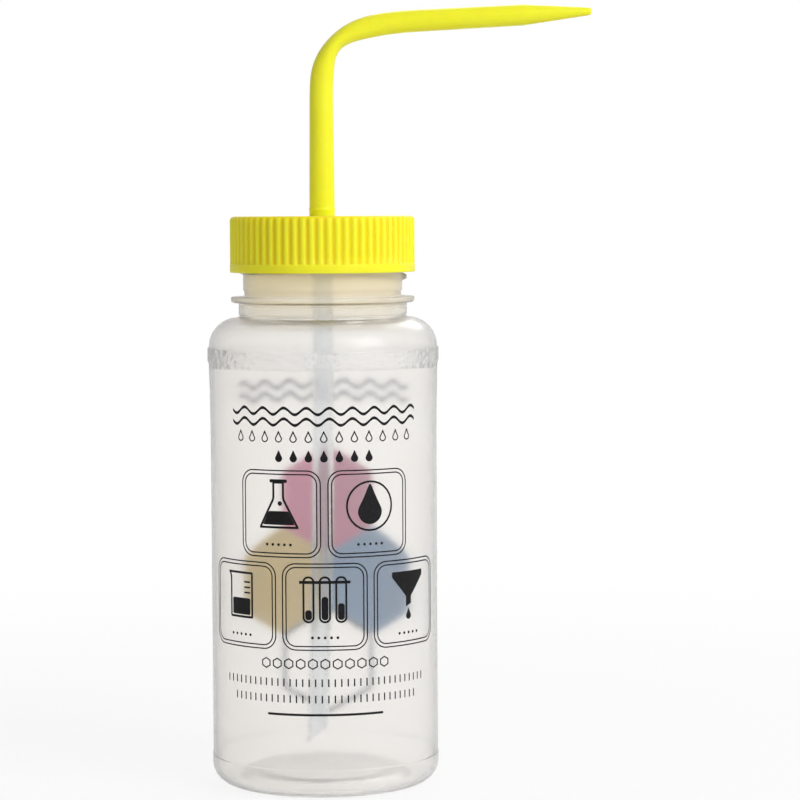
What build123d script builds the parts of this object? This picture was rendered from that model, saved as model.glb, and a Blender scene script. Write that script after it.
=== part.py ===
"""Squeeze wash bottle: a blow-moulded bottle, its ribbed screw cap, sealing disc, bent spout and dip tube.

Millimetres. The origin is the centre of the bottle's base, +Z runs up the bottle's axis, and the spout
points along +X. The cap is screwed home and the spout stands as it is used.
"""

import os
from math import cos, pi, radians, sin

from build123d import *

# Bottle, from the foot up
foot_width = 2.0
heel_radius = 6.5
heel_height = 8.5
push_up_height = 2.6
push_up_dome = 0.6
push_up_slope = 4.5
base_wall = 1.5
side_wall = 1.1
body_radius = 34.75
body_straight = 95.0
heel_band_proud = 0.18
heel_band_height = 0.5
panel_flare = 0.38
panel_height = 120.3
bumper_proud = 0.36
bumper_height = 3.9
bumper_blend = 1.0
shoulder_radius = 9.2
shoulder_wall = 1.5
inner_round_steps = 3

# Neck and its finish
collar_proud = 1.4
collar_height = 3.6
collar_groove = 0.4
collar_groove_height = 0.9
flange_proud = 3.75
flange_thickness = 1.8
flange_edge = 0.8
neck_radius = 24.4
neck_height = 21.9
neck_undercut = 0.35
neck_undercut_height = 1.6
neck_wall = 1.7
lip_edge = 0.4

# Screw thread, shared by the neck and the cap
thread_pitch = 4.23
thread_depth = 1.6
thread_root_width = 2.6
thread_crest_width = 1.2
thread_start = 5.9
thread_end_gap = 3.31
cap_thread_lag = 0.75
cap_thread_angle = 180.0
thread_clearance = 0.3

# Cap
cap_height = 17.1
cap_top_thickness = 1.7
cap_wall = 1.45
cap_top_edge = 1.1
cap_bore_lead = 0.5
rib_count = 67
rib_depth = 0.55
rib_foot_share = 0.72
rib_crest_share = 0.3
rib_land = 0.15
rim_height = 2.5
rim_proud = 0.12

# Sealing disc under the cap's top
disc_thickness = 1.0
disc_side_clearance = 0.3

# Spout: flange and socket under the cap, stem through it, bend, arm and tip
spout_fit = 0.08
stem_bore_radius = 2.2
arm_bore_radius = 1.8
stem_base_radius = 3.88
stem_top_radius = 3.62
snap_bead_proud = 0.16
snap_bead_height = 1.0
snap_neck_height = 1.5
spout_flange_radius = 7.0
spout_flange_thickness = 1.2
socket_length = 9.0
socket_wall = 1.15
stem_height = 33.9
arm_height = 57.9
arm_rise_angle = 2.9
bend_reach = 30.0
bend_pull_up = 16.5
bend_pull_out = 29.0
bend_squeeze = 1.0
bend_spread = 0.75
bend_squeeze_share = 0.33
bend_steps = 8
bore_bend_steps = 5
arm_start_radius = 3.36
arm_end_radius = 3.2
arm_reach = 61.4
tip_reach = 82.7
tip_radius = 1.2
tip_rounding = 0.4
orifice_radius = 0.55
orifice_length = 2.5

# Dip tube
dip_radius = 3.2
dip_wall = 1.05
dip_fit = 0.02
dip_end_height = 13.8
dip_lean = 2.9
dip_straight = 30.0
dip_cut_angle = 40.0

# Heights and radii that several pieces share
body_top = heel_height + heel_band_height + body_straight
bumper_base = heel_height + heel_band_height + panel_height
bumper_top = bumper_base + bumper_blend + bumper_height
collar_radius = neck_radius + collar_proud
flange_radius = neck_radius + flange_proud
shoulder_outer = body_radius + panel_flare
shoulder_round = min(shoulder_radius, shoulder_outer - collar_radius)
shoulder_top = bumper_top + shoulder_round
collar_top = shoulder_top + collar_groove_height + collar_height
flange_top = collar_top + flange_thickness
lip_height = flange_top + neck_height
neck_thread_turns = (neck_height - thread_start - thread_end_gap) / thread_pitch
cap_thread_turns = neck_thread_turns - cap_thread_lag
mouth_radius = neck_radius - neck_wall
cap_underside = lip_height + disc_thickness
cap_top = cap_underside + cap_top_thickness
cap_bottom = cap_top - cap_height
cap_bore = neck_radius + thread_depth + thread_clearance
groove_radius = cap_bore + cap_wall
rib_radius = groove_radius + rib_depth
socket_top = lip_height - spout_flange_thickness


def revolved(profile):
    """The solid that a closed profile, drawn as radius and height, makes round the bottle's axis."""
    return revolve(profile, axis=Axis.Z)


def rounded(centre_radius, centre_height, radius, first, last):
    """Points on an arc of the profile between two angles above the horizontal, for an inner round."""
    points = []
    for step in range(inner_round_steps + 1):
        angle = radians(first + (last - first) * step / inner_round_steps)
        points.append((centre_radius + radius * cos(angle), centre_height + radius * sin(angle)))
    return points


def bottle_shell():
    """The blown shell: foot, heel, label panel, bumper band, shoulder, collar, flange and neck."""
    inner = body_radius - side_wall
    floor = push_up_height + base_wall
    band = body_radius + heel_band_proud
    rise_start = band - heel_radius - foot_width
    rise_end = rise_start - push_up_slope
    shoulder_centre = shoulder_outer - shoulder_round
    inner_shoulder = shoulder_round - shoulder_wall
    heel_inner = heel_radius - base_wall
    panel_base = heel_height + heel_band_height
    collar_foot = collar_radius - collar_groove
    collar_bore = collar_radius - neck_wall
    neck_foot = neck_radius - neck_undercut
    throat_end = shoulder_top - shoulder_wall
    throat_slope = collar_bore - mouth_radius
    with BuildSketch(Plane.XZ) as profile:
        with BuildLine():
            crown = (0, push_up_height + push_up_dome)
            dome = TangentArc(crown, (rise_end, push_up_height), tangent=(1, 0))
            slope = Line(dome @ 1, (rise_start, 0))
            foot = Line(slope @ 1, (band - heel_radius, 0))
            heel = TangentArc(foot @ 1, (band, heel_radius), tangent=(1, 0))
            heel_band = Line(heel @ 1, (band, panel_base))
            step = Line(heel_band @ 1, (body_radius, panel_base + heel_band_proud))
            straight = Line(step @ 1, (body_radius, body_top))
            flare = TangentArc(straight @ 1, (shoulder_outer, bumper_base), tangent=(0, 1))
            blend = Line(flare @ 1, (shoulder_outer + bumper_proud, bumper_base + bumper_blend))
            bumper = Line(blend @ 1, (shoulder_outer + bumper_proud, bumper_top))
            ledge = Line(bumper @ 1, (shoulder_outer, bumper_top))
            shoulder = TangentArc(ledge @ 1, (shoulder_centre, shoulder_top), tangent=(0, 1))
            shelf = Line(shoulder @ 1, (collar_foot, shoulder_top))
            groove = Line(shelf @ 1, (collar_foot, shoulder_top + collar_groove_height))
            collar_step = Line(groove @ 1, (collar_radius, shoulder_top + collar_groove_height))
            collar = Line(collar_step @ 1, (collar_radius, collar_top))
            flange_under = Line(collar @ 1, (flange_radius - flange_edge, collar_top))
            flange_bevel = Line(flange_under @ 1, (flange_radius, collar_top + flange_edge))
            flange_side = Line(flange_bevel @ 1, (flange_radius, flange_top))
            flange_face = Line(flange_side @ 1, (neck_foot, flange_top))
            undercut = Line(flange_face @ 1, (neck_foot, flange_top + neck_undercut_height))
            relief = Line(undercut @ 1, (neck_radius, flange_top + neck_undercut_height + neck_undercut))
            neck = Line(relief @ 1, (neck_radius, lip_height - lip_edge))
            lip = Line(neck @ 1, (neck_radius - lip_edge, lip_height))
            face = Line(lip @ 1, (mouth_radius, lip_height))
            throat = Line(face @ 1, (mouth_radius, throat_end + throat_slope))
            slant = Line(throat @ 1, (collar_bore, throat_end))
            Line(slant @ 1, (shoulder_centre, throat_end))
            under = Polyline(*rounded(shoulder_centre, bumper_top, inner_shoulder, 90, 0))
            taper = Line(under @ 1, (inner, body_top))
            side = Line(taper @ 1, (inner, heel_radius))
            corner = Polyline(*rounded(inner - heel_inner, heel_radius, heel_inner, 0, -90))
            channel = Line(corner @ 1, (rise_start, base_wall))
            inner_slope = Line(channel @ 1, (rise_end, floor))
            Line(inner_slope @ 1, (0, floor + push_up_dome))
            Line((0, floor + push_up_dome), crown)
        make_face()
    return revolved(profile.sketch)


def thread_ridge(wall_radius, outward, start_height, start_angle, turns):
    """A helical ridge of the shared thread form, standing out of a wall of this radius or into it."""
    side = 1 if outward else -1
    root = -side * thread_clearance
    crest = side * thread_depth
    path = Helix(thread_pitch, turns * thread_pitch, wall_radius)
    form = Plane(origin=path @ 0, x_dir=(1, 0, 0), z_dir=(0, -1, 0))
    with BuildSketch(form) as section:
        with BuildLine():
            Polyline(
                (root, -thread_root_width / 2),
                (crest, -thread_crest_width / 2),
                (crest, thread_crest_width / 2),
                (root, thread_root_width / 2),
                close=True,
            )
        make_face()
    ridge = sweep(section.sketch, path=path, is_frenet=True)
    return Pos(0, 0, start_height) * Rot(0, 0, start_angle) * ridge


def make_bottle():
    """The shell with the screw thread on its neck; the thread's lower end faces the spout's side."""
    ridge = thread_ridge(neck_radius, True, flange_top + thread_start, 0, neck_thread_turns)
    return bottle_shell() + ridge


def cap_blank():
    """The cap before its ribs are cut: flat top, its edge broken by two bevels, and skirt with a plain rim."""
    rim_radius = rib_radius + rim_proud
    rim_top = cap_bottom + rim_height
    edge_set_back = cap_top_edge * (1 - cos(pi / 4))
    hole = stem_base_radius + spout_fit
    with BuildSketch(Plane.XZ) as profile:
        with BuildLine():
            Polyline(
                (rim_radius, cap_bottom),
                (rib_radius, rim_top),
                (rib_radius, cap_top - cap_top_edge),
                (rib_radius - edge_set_back, cap_top - edge_set_back),
                (rib_radius - cap_top_edge, cap_top),
                (hole, cap_top),
                (hole, cap_underside),
                (cap_bore, cap_underside),
                (cap_bore, cap_bottom + cap_bore_lead),
                (cap_bore + cap_bore_lead, cap_bottom),
                close=True,
            )
        make_face()
    return revolved(profile.sketch)


def rib_grooves():
    """The ring of material that is missing between the ribs, from the rim to just under the edge."""
    spacing = 2 * pi / rib_count
    foot = spacing * rib_foot_share / 2
    crest = spacing * rib_crest_share / 2
    reach = rib_radius + rib_depth
    with BuildSketch(Plane.XY.offset(cap_bottom + rim_height)) as gaps:
        Circle(reach)
        with BuildSketch(Plane.XY, mode=Mode.PRIVATE) as outline:
            Circle(groove_radius)
            with PolarLocations(0, rib_count):
                Polygon(
                    (groove_radius * cos(foot), -groove_radius * sin(foot)),
                    (reach * cos(crest), -reach * sin(crest)),
                    (reach * cos(crest), reach * sin(crest)),
                    (groove_radius * cos(foot), groove_radius * sin(foot)),
                    align=None,
                )
        add(outline.sketch, mode=Mode.SUBTRACT)
    return extrude(gaps.sketch, amount=cap_height - rim_height - cap_top_edge - rib_land)


def make_cap():
    """The cap with its ribs and its internal thread, half a pitch away from the neck's."""
    start_height = flange_top + thread_start + thread_pitch * (0.5 + cap_thread_angle / 360)
    ridge = thread_ridge(cap_bore, False, start_height, cap_thread_angle, cap_thread_turns)
    return cap_blank() - rib_grooves() + ridge


def make_disc():
    """The flat ring that the cap presses onto the bottle's lip."""
    with BuildSketch(Plane.XY.offset(lip_height)) as ring:
        Circle(cap_bore - disc_side_clearance)
        Circle(stem_base_radius + disc_side_clearance, mode=Mode.SUBTRACT)
    return extrude(ring.sketch, amount=disc_thickness)


def spout_spine():
    """The spout's middle line: straight stem, bend and straight arm."""
    corner = Vector(0, 0, cap_top + arm_height)
    along = Vector(cos(radians(arm_rise_angle)), 0, sin(radians(arm_rise_angle)))
    foot = Vector(0, 0, cap_top + snap_neck_height)
    bend_start = Vector(0, 0, cap_top + stem_height)
    bend_end = corner + along * bend_reach
    arm_end = corner + along * (arm_reach / along.X)
    upward = bend_start + Vector(0, 0, bend_pull_up)
    stem = Line(foot, bend_start)
    bend = Bezier(bend_start, upward, bend_end - along * bend_pull_out, bend_end)
    arm = Line(bend_end, arm_end)
    return stem, bend, arm


def spout_run(stem_base, stem_top, arm_start, arm_end, hidden=False):
    """A round bar along the middle line, of these radii, squeezed flat where the heated tube was bent."""
    stem, bend, arm = spout_spine()
    steps = bore_bend_steps if hidden else bend_steps
    sections = []
    for step in range(steps + 1):
        share = step / steps
        radius = stem_top + share * (arm_start - stem_top)
        nearness = max(0, 1 - abs(share - 0.5) / bend_squeeze_share)
        squeeze = sin(nearness * pi / 2) ** 2
        across = radius + squeeze * bend_spread
        in_plane = radius - squeeze * bend_squeeze
        station = Plane(origin=bend @ share, x_dir=(0, 1, 0), z_dir=bend % share)
        sections.append(station * Ellipse(across, in_plane))
    tube = loft(sections, ruled=hidden)
    for run, first, last in ((stem, stem_base, stem_top), (arm, arm_start, arm_end)):
        ends = []
        for place, radius in ((run @ 0, first), (run @ 1, last)):
            ends.append(Plane(origin=place, x_dir=(0, 1, 0), z_dir=run % 0) * Circle(radius))
        tube += loft(ends)
    return tube


def spout_foot():
    """The lower end: dip-tube socket, flange under the disc, plain neck through the cap and snap bead."""
    socket_radius = dip_radius + dip_fit
    sleeve = socket_radius + socket_wall
    bead_base = cap_top + snap_neck_height
    with BuildSketch(Plane.XZ) as profile:
        with BuildLine():
            Polyline(
                (stem_bore_radius, bead_base),
                (stem_bore_radius, socket_top),
                (socket_radius, socket_top),
                (socket_radius, socket_top - socket_length),
                (sleeve, socket_top - socket_length),
                (sleeve, socket_top),
                (spout_flange_radius, socket_top),
                (spout_flange_radius, lip_height),
                (stem_base_radius, lip_height),
                (stem_base_radius, bead_base),
                close=True,
            )
        make_face()
    bead_middle = bead_base + snap_bead_height / 2
    with BuildSketch(Plane.XZ) as bead:
        with BuildLine():
            Polyline(
                (stem_base_radius - snap_bead_proud, bead_base - snap_bead_proud),
                (stem_base_radius + snap_bead_proud, bead_middle),
                (stem_base_radius - snap_bead_proud, bead_base + snap_bead_height + snap_bead_proud),
                close=True,
            )
        make_face()
    return revolved(profile.sketch), revolved(bead.sketch)


def spout_tip():
    """The cone at the arm's end, with its bore narrowing to the orifice."""
    stem, bend, arm = spout_spine()
    end = arm @ 1
    length = (tip_reach - end.X) / cos(radians(arm_rise_angle))
    frame = Plane(origin=end, x_dir=arm % 1, z_dir=(0, -1, 0))
    with BuildSketch(frame) as profile:
        with BuildLine():
            Line((0, arm_bore_radius), (0, arm_end_radius))
            Line((0, arm_end_radius), (length - tip_rounding, tip_radius))
            nose = Line((length - tip_rounding, tip_radius), (length, tip_radius - tip_rounding))
            Line(nose @ 1, (length, orifice_radius))
            Line((length, orifice_radius), (length - orifice_length, orifice_radius))
            Line((length - orifice_length, orifice_radius), (0, arm_bore_radius))
        make_face()
    return revolve(profile.sketch, axis=Axis(end, arm % 1))


def make_spout():
    """The spout: foot, lofted tube and conical tip, bored through."""
    foot, bead = spout_foot()
    bar = spout_run(stem_base_radius, stem_top_radius, arm_start_radius, arm_end_radius)
    bore = spout_run(stem_bore_radius, stem_bore_radius, arm_bore_radius, arm_bore_radius, hidden=True)
    return foot + bar + bead - bore + spout_tip()


def make_dip_tube():
    """The tube from the spout's socket down to the base, bowed away from the arm, its end cut aslant."""
    straight = Line((0, 0, socket_top), (0, 0, socket_top - socket_length - dip_straight))
    bow = TangentArc(straight @ 1, (-dip_lean, 0, dip_end_height - 2 * dip_radius), tangent=(0, 0, -1))
    path = Wire([straight, bow])
    with BuildSketch(Plane(origin=straight @ 0, z_dir=(0, 0, -1))) as section:
        Circle(dip_radius)
        Circle(dip_radius - dip_wall, mode=Mode.SUBTRACT)
    tube = sweep(section.sketch, path=path)
    slant = radians(dip_cut_angle)
    cut = Plane(origin=(-dip_lean, 0, dip_end_height), z_dir=(-sin(slant), 0, cos(slant)))
    return split(tube, bisect_by=cut, keep=Keep.TOP)


parts = {
    "bottle": make_bottle(),
    "cap": make_cap(),
    "sealing_disc": make_disc(),
    "spout": make_spout(),
    "dip_tube": make_dip_tube(),
}

os.makedirs("parts", exist_ok=True)
for node, solid in parts.items():
    solid.label = node
    export_step(solid, f"parts/{node}.step")
    print(node, "solids", len(solid.solids()), "volume", round(solid.volume))
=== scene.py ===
"""Dresses the wash bottle: hazy bottle with its print, ribbed cap, disc, bent spout and dip tube."""
from math import asin, atan2, ceil, cos, floor, pi, radians, sin, tan

import bmesh
import bpy
from bpy.props import FloatProperty, FloatVectorProperty, IntProperty, PointerProperty
from bpy.types import Operator, Panel, PropertyGroup
from mathutils import Matrix, Vector


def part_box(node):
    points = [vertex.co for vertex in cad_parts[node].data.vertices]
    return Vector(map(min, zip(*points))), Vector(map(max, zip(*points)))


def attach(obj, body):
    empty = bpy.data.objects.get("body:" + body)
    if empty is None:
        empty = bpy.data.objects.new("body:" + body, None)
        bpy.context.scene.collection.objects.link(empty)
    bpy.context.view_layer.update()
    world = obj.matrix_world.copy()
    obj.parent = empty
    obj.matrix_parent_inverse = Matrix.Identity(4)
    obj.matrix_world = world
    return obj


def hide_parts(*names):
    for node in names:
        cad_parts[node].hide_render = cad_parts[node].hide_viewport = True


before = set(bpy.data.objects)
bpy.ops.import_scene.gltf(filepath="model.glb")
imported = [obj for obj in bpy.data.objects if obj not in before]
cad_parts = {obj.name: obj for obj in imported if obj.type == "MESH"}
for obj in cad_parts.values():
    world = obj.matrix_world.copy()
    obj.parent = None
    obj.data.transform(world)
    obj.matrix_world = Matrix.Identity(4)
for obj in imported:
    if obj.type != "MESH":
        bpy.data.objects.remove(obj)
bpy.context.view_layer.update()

bl_info = {
    "name": "Wash bottle",
    "version": (1, 0, 0),
    "blender": (4, 5, 0),
    "location": "3D View > Sidebar > Wash bottle",
    "description": "Models a squeeze wash bottle in its plastics and print around a packed frame",
    "category": "Object",
}

MM = 0.001
LIP_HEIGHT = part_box("bottle")[1].z
CAP_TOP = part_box("cap")[1].z
CAP_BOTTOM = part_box("cap")[0].z
TIP_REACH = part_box("spout")[1].x
SKIN = "outer_skin"
UP = Vector((0, 0, 1))
FULL_TURN = 2 * pi
SPOUT_FLANGE_BASE = LIP_HEIGHT - 1.2 * MM


# Sizes and colours that a user would change

def length(name, description, millimetres):
    """A size in the sidebar."""
    metres = millimetres * MM
    return FloatProperty(name=name, description=description, default=metres, precision=5, unit="LENGTH")


def slant(name, description, degrees):
    """An angle in the sidebar."""
    return FloatProperty(name=name, description=description, default=radians(degrees), subtype="ANGLE")


def colour(name, description, value):
    """A colour in the sidebar."""
    return FloatVectorProperty(name=name, description=description, default=value, size=4, subtype="COLOR")


class BottleSizes(PropertyGroup):
    body_radius: length("Body radius", "Outside of the label panel", 34.75)
    side_wall: length("Side wall", "Thickness of the panel's wall", 1.1)
    heel_radius: length("Heel radius", "Round between the foot and the side", 6.5)
    heel_height: length("Heel height", "Height where the thicker heel ends", 8.5)
    base_wall: length("Base wall", "Thickness of the base", 1.5)
    foot_width: length("Foot width", "Flat ring that the bottle stands on", 2.0)
    push_up: length("Push-up", "Height of the base's hollow", 2.6)
    body_straight: length("Straight height", "Height where the panel starts to flare", 104.0)
    bumper_base: length("Bumper base", "Height of the bumper band's lower edge", 129.3)
    bumper_top: length("Bumper top", "Height of the bumper band's sharp upper edge", 134.2)
    bumper_proud: length("Bumper proud", "How far the bumper band stands out", 0.36)
    panel_flare: length("Panel flare", "How far the panel widens under the bumper band", 0.38)
    shoulder_radius: length("Shoulder radius", "Round of the shoulder", 9.2)
    collar_radius: length("Collar radius", "Outside of the collar under the flange", 25.8)
    flange_radius: length("Flange radius", "Outside of the flange under the cap", 28.15)
    neck_radius: length("Neck radius", "Outside of the neck between its threads", 24.4)
    neck_wall: length("Neck wall", "Thickness of the neck", 1.7)
    segments: IntProperty(name="Segments", description="Steps round the bottle", default=240, min=48)


class ThreadSizes(PropertyGroup):
    pitch: length("Pitch", "Rise of the thread in one turn", 4.23)
    depth: length("Depth", "How far the ridge stands out", 1.6)
    root_width: length("Root width", "Width of the ridge at the wall", 2.6)
    crest_width: length("Crest width", "Width of the ridge at its top", 1.2)
    neck_start: length("Neck start", "Height of the neck thread's lower end", 155.6)
    neck_turns: FloatProperty(name="Neck turns", description="Turns on the neck", default=3.0, min=0.5)
    cap_turns: FloatProperty(name="Cap turns", description="Turns in the cap", default=2.25, min=0.5)


class CapSizes(PropertyGroup):
    groove_radius: length("Groove radius", "Radius at the bottom of the grooves", 27.75)
    rib_depth: length("Rib depth", "How far the ribs stand out of the grooves", 0.55)
    rim_proud: length("Rim proud", "How far the plain rim stands out of the ribs", 0.12)
    rim_height: length("Rim height", "Height of the plain rim", 2.5)
    top_edge: length("Top edge", "Round at the edge of the top", 1.4)
    top_thickness: length("Top thickness", "Thickness of the flat top", 1.7)
    bore_radius: length("Bore radius", "Inside of the skirt", 26.3)
    hole_radius: length("Hole radius", "Hole for the spout's stem", 3.96)
    ribs: IntProperty(name="Ribs", description="Number of grip ribs", default=67, min=12)


class SpoutSizes(PropertyGroup):
    stem_height: length("Stem height", "Straight stem above the cap", 33.9)
    arm_height: length("Arm height", "Height above the cap where stem and arm would meet", 57.9)
    arm_rise: slant("Arm rise", "Slope of the arm", 2.9)
    bend_reach: length("Bend reach", "Where the bend ends along the arm", 30.0)
    bend_pull_up: length("Bend pull up", "Pull of the bend's curve at the stem", 16.5)
    bend_pull_out: length("Bend pull out", "Pull of the bend's curve at the arm", 29.0)
    bend_squeeze: length("Bend squeeze", "How far the bend is flattened", 1.0)
    bend_spread: length("Bend spread", "How far the flattened bend widens", 0.75)
    stem_base: length("Stem base", "Radius of the stem at the cap", 3.88)
    stem_top: length("Stem top", "Radius of the stem below the bend", 3.62)
    arm_start: length("Arm start", "Radius of the arm after the bend", 3.36)
    arm_end: length("Arm end", "Radius of the arm before its tip", 3.2)
    arm_reach: length("Arm reach", "Where the tip's cone starts", 61.4)
    tip_radius: length("Tip radius", "Radius of the tip's end", 1.2)
    orifice: length("Orifice", "Radius of the jet's hole", 0.55)
    stem_bore: length("Stem bore", "Radius of the bore in the stem", 2.2)
    bore: length("Arm bore", "Radius of the bore in the arm", 1.9)


class DipTubeSizes(PropertyGroup):
    radius: length("Radius", "Outside of the tube", 3.2)
    wall: length("Wall", "Thickness of the tube's wall", 1.05)
    straight_end: length("Straight end", "Height where the bow starts", 131.4)
    end_height: length("End height", "Height of the slanting end's middle", 13.8)
    lean: length("Lean", "How far the lower end leans away from the arm", 2.9)
    cut: slant("Cut", "Slant of the lower end", 40)


class PrintSizes(PropertyGroup):
    line: length("Line", "Width of the thin lines", 0.38)
    ink: length("Ink", "Thickness of the ink", 0.03)
    frame_size: length("Frame size", "Side of a framed picture", 26.2)
    frame_gap: length("Frame gap", "Gap between two framed pictures", 1.9)
    upper_row: length("Upper row", "Height of the upper pictures' middle", 86.0)
    lower_row: length("Lower row", "Height of the lower pictures' middle", 58.3)
    wave_width: length("Wave width", "Width of the waves over the front and the back print", 62.0)
    comb: length("Comb", "Radius of the back print's hexagons", 17.5)
    comb_rounding: length("Comb rounding", "Round of the back print's corners", 1.5)


class Colours(PropertyGroup):
    bottle: colour("Bottle", "Natural blown plastic", (0.995, 0.98, 0.957, 1))
    # Painted light: the yellow light that the cap throws through and onto the neck is painted into this
    # colour.
    neck: colour("Neck", "Natural plastic where the yellow cap tints its light", (1.0, 0.915, 0.70, 1))
    haze: colour("Haze", "Milky bloom on the plastic's outside", (0.95, 0.96, 0.975, 1))
    yellow: colour("Cap and spout", "Yellow plastic", (0.90, 0.845, 0.033, 1))
    dip_tube: colour("Dip tube", "Natural translucent plastic", (0.94, 0.96, 0.98, 1))
    disc: colour("Disc", "White sealing foam", (0.83, 0.82, 0.79, 1))
    ink: colour("Ink", "Black print", (0.006, 0.006, 0.007, 1))
    pink: colour("Pink", "Pink field of the back print", (0.90, 0.24, 0.48, 1))
    blue: colour("Blue", "Blue field of the back print", (0.20, 0.44, 0.82, 1))
    straw: colour("Straw", "Yellow field of the back print", (0.90, 0.70, 0.24, 1))
    slate: colour("Slate", "Lines and waves of the back print", (0.12, 0.17, 0.27, 1))
    floor: colour("Floor", "Pale floor", (0.78, 0.78, 0.78, 1))


GROUPS = {
    "bottle": BottleSizes,
    "thread": ThreadSizes,
    "cap": CapSizes,
    "spout": SpoutSizes,
    "dip_tube": DipTubeSizes,
    "print": PrintSizes,
    "colours": Colours,
}


class WashBottle(PropertyGroup):
    """All the groups of sizes and colours, one pointer each."""


for group_name, group_class in GROUPS.items():
    WashBottle.__annotations__[group_name] = PointerProperty(type=group_class)


# Outlines and meshes

def corner_round(before, corner, after, radius, steps=6):
    """Points on the arc that rounds a corner of an outline."""
    there, back = (before - corner).normalized(), (after - corner).normalized()
    half = there.angle(back) / 2
    centre = corner + (there + back).normalized() * radius / sin(half)
    first = (corner + there * radius / tan(half) - centre).normalized()
    last = (corner + back * radius / tan(half) - centre).normalized()
    return [centre + radius * first.slerp(last, step / steps) for step in range(steps + 1)]


def outline(*corners):
    """Points of a profile from corners of (radius, height) or (radius, height, rounding), in metres."""
    places = [Vector(corner[:2]) for corner in corners]
    points = []
    for index, corner in enumerate(corners):
        if len(corner) == 2:
            points.append(places[index])
        else:
            points += corner_round(places[index - 1], places[index], places[index + 1], corner[2])
    return points


def rows(first, last, count):
    """Corners evenly spaced between two corners, both left out."""
    return [tuple(Vector(first).lerp(Vector(last), step / count)) for step in range(1, count)]


def lathe(points, segments):
    """A bmesh that a closed outline of (radius, height) points makes round the bottle's axis."""
    mesh = bmesh.new()
    verts = [mesh.verts.new((point.x, 0, point.y)) for point in points]
    edges = [mesh.edges.new(pair) for pair in zip(verts, verts[1:] + verts[:1])]
    bmesh.ops.spin(
        mesh, geom=verts + edges, axis=UP, cent=(0, 0, 0), angle=FULL_TURN, steps=segments, use_merge=True
    )
    tidy(mesh)
    return mesh


def tidy(mesh):
    """Merges doubles, drops what has no area and turns the faces outwards."""
    distance = 0.002 * MM
    bmesh.ops.remove_doubles(mesh, verts=mesh.verts, dist=distance)
    bmesh.ops.dissolve_degenerate(mesh, edges=mesh.edges, dist=distance / 2)
    bmesh.ops.recalc_face_normals(mesh, faces=mesh.faces)


def finished(mesh, name, material, body, slot, *nodes, sharp=40):
    """The bmesh as an object with its material, which rides on a body and may replace nodes.

    Edges that turn by more than sharp degrees stay sharp.
    """
    data = bpy.data.meshes.new(name)
    mesh.to_mesh(data)
    mesh.free()
    data.shade_smooth()
    data.set_sharp_from_angle(angle=radians(sharp))
    data.materials.append(material)
    piece = bpy.data.objects.new(name, data)
    bpy.context.collection.objects.link(piece)
    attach(piece, body)
    if nodes:
        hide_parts(*nodes)
    return piece


def smooth_share(value, low, high):
    """0 below low, 1 above high and a soft step between."""
    share = min(1, max(0, (value - low) / (high - low)))
    return share * share * (3 - 2 * share)


def mark_outer_skin(mesh, highest_middle):
    """Gives each vertex of a bottle's shell 1 on its outside and 0 on its inside."""
    lowest_middle = 30 * MM
    mesh.normal_update()
    layer = mesh.verts.layers.float.new(SKIN)
    for vert in mesh.verts:
        middle = Vector((0, 0, min(max(vert.co.z, lowest_middle), highest_middle)))
        vert[layer] = 1.0 if vert.normal.dot(vert.co - middle) > 0 else 0.0


def scale_round_axis(vert, factor):
    """Moves a vertex straight towards or away from the bottle's axis."""
    vert.co.x *= factor
    vert.co.y *= factor


def raise_thread(verts, thread, start_height, start_angle, turns, side):
    """Moves the vertices of a plain wall out (side 1) or in (side -1) to a helical ridge."""
    end_before, end_after = 0.006, 0.014
    half_crest = thread.crest_width / 2 * 0.9
    half_root = thread.root_width / 2 * 1.05
    for vert in verts:
        angle = (atan2(vert.co.y, vert.co.x) - start_angle) % FULL_TURN
        before_start = 1 if angle > 0.95 * FULL_TURN else 0
        height = 0
        for lap in range(ceil(turns) + 1):
            turn = angle / FULL_TURN + lap - before_start
            away = abs(vert.co.z - start_height - thread.pitch * turn)
            flank = 1 - smooth_share(away, half_crest, half_root)
            begun = smooth_share(turn, -end_before, end_after)
            ended = smooth_share(turn, turns - end_after, turns + end_before)
            height = max(height, flank * begun * (1 - ended))
        scale_round_axis(vert, 1 + side * thread.depth * height / vert.co.xy.length)


# Materials

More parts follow.
